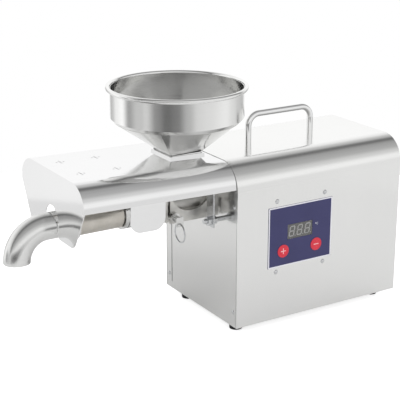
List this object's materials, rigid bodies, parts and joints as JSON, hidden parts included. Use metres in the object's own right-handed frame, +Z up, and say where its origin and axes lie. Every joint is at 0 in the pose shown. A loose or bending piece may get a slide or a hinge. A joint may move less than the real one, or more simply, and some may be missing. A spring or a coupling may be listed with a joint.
{
  "type": "screw oil press",
  "caption": "Tabletop screw press for oil seeds: spun hopper, barrel with bent outlet under a sheet guard, geared motor in a round-shouldered steel housing with panel and handle.",
  "frame": {"origin": "centre of the overall bounding box, on the table under the feet", "axes": "+X along the press screw from the outlet towards the motor and rear panel, +Z up, the control panel faces -Y"},
  "size_m": [0.5126, 0.1722, 0.3052],
  "materials": {
    "brushed_housing": "brushed along the length",
    "plate_steel": "satin",
    "polished_guard": "polished sheet",
    "spun_hopper": "polished, spun",
    "polished_bar": "polished",
    "outlet_steel": "polished",
    "turned_steel": "turned",
    "heater_sheath": "heat-toned",
    "cast_holder": "cast, blasted",
    "zinc_hardware": "zinc plated",
    "foot_rubber": "matt",
    "panel_film": "printed film",
    "red_button": "smooth",
    "display_glass": "clear",
    "display_body": "grey",
    "board_laminate": "green laminate",
    "sink_aluminium": "anodised",
    "gearbox_casting": "cast",
    "gear_steel": "cut",
    "bearing_steel": "ground",
    "motor_paint": "black",
    "bell_casting": "cast",
    "magnet_ferrite": "ferrite",
    "core_laminations": "laminated",
    "fan_plastic": "black",
    "black_plastic": "black",
    "rocker_plastic": "black"
  },
  "bodies": {
    "base": {"housing_cover": "brushed_housing", "front_plate": "plate_steel", "rear_panel": "plate_steel", "base_tray": "plate_steel", "carry_handle": "polished_bar", "outlet_nut": "outlet_steel", "press_barrel": "turned_steel", "pin_sleeve": "turned_steel", "heater_band": "heater_sheath", "temperature_probe": "heater_sheath", "barrel_holder": "cast_holder", "feed_bowl": "cast_holder", "front_plate_screws": "zinc_hardware", "rear_panel_screws": "zinc_hardware", "foot_screws": "zinc_hardware", "handle_screws": "zinc_hardware", "panel_screws": "zinc_hardware", "holder_bolts": "zinc_hardware", "gearbox_screws": "zinc_hardware", "guard_studs": "zinc_hardware", "guard_stays": "zinc_hardware", "stay_nuts": "zinc_hardware", "board_standoffs": "zinc_hardware", "motor_bolts": "zinc_hardware", "rubber_feet": "foot_rubber", "panel_overlay": "panel_film", "display_window": "display_glass", "display_module": "display_body", "control_board": "board_laminate", "driver_heatsink": "sink_aluminium", "gearbox_case": "gearbox_casting", "gearbox_cover": "gearbox_casting", "output_bearings": "bearing_steel", "layshaft_bearings": "bearing_steel", "motor_can": "motor_paint", "motor_end_bell": "bell_casting", "motor_magnets": "magnet_ferrite", "power_inlet": "black_plastic", "rocker_frame": "black_plastic"},
    "guard": {"guard_hood": "polished_guard", "guard_end_plate": "polished_guard", "guard_side_flaps": "polished_guard"},
    "hopper": {"hopper": "spun_hopper"},
    "elbow": {"cake_elbow": "outlet_steel"},
    "lock_pin": {"lock_pin": "turned_steel"},
    "pull_ring": {"pin_ring": "zinc_hardware"},
    "press_drive": {"output_shaft": "turned_steel", "output_gear": "gear_steel", "press_screw": "turned_steel"},
    "layshaft": {"layshaft": "turned_steel", "layshaft_gear": "gear_steel", "layshaft_pinion": "gear_steel"},
    "motor_rotor": {"motor_shaft": "turned_steel", "motor_pinion": "gear_steel", "motor_armature": "core_laminations", "motor_fan": "fan_plastic"},
    "plus_button": {"plus_button": "red_button"},
    "minus_button": {"minus_button": "red_button"},
    "power_rocker": {"power_rocker": "rocker_plastic"}
  },
  "joints": [
    {"name": "guard_lift", "type": "slide", "parent": "base", "child": "guard", "axis": [0, 0, 1], "range_m": [0, 0.12]},
    {"name": "hopper_lift", "type": "slide", "parent": "guard", "child": "hopper", "axis": [0, 0, 1], "range_m": [0, 0.06]},
    {"name": "elbow_swivel", "type": "hinge", "parent": "base", "child": "elbow", "pos_m": [-0.1937, 0, 0.1585], "axis": [1, 0, 0], "range_deg": [-90, 90]},
    {"name": "pin_pull", "type": "slide", "parent": "base", "child": "lock_pin", "axis": [0, -1, 0], "range_m": [0, 0.0055], "stiffness_N_per_m": 800, "springref_m": -0.003},
    {"name": "ring_swing", "type": "hinge", "parent": "lock_pin", "child": "pull_ring", "pos_m": [-0.0517, -0.048, 0.148], "axis": [0, 1, 0], "range_deg": [-75, 75]},
    {"name": "motor_spin", "type": "hinge", "parent": "base", "child": "motor_rotor", "pos_m": [0.0963, 0, 0.076], "axis": [1, 0, 0], "continuous": true},
    {"name": "layshaft_spin", "type": "hinge", "parent": "base", "child": "layshaft", "pos_m": [0.0363, 0, 0.1135], "axis": [1, 0, 0], "continuous": true},
    {"name": "press_spin", "type": "hinge", "parent": "base", "child": "press_drive", "pos_m": [0.0063, 0, 0.1585], "axis": [1, 0, 0], "continuous": true},
    {"name": "plus_press", "type": "slide", "parent": "base", "child": "plus_button", "axis": [0, 1, 0], "range_m": [0, 0.0008], "stiffness_N_per_m": 600, "springref_m": -0.001},
    {"name": "minus_press", "type": "slide", "parent": "base", "child": "minus_button", "axis": [0, 1, 0], "range_m": [0, 0.0008], "stiffness_N_per_m": 600, "springref_m": -0.001},
    {"name": "power_rock", "type": "hinge", "parent": "base", "child": "power_rocker", "pos_m": [0.2478, 0.035, 0.086], "axis": [0, -1, 0], "range_deg": [0, 16]}
  ],
  "couplings": [
    {"joint": "layshaft_spin", "follows": "motor_spin", "ratio": -0.25},
    {"joint": "press_spin", "follows": "motor_spin", "ratio": 0.083333}
  ]
}
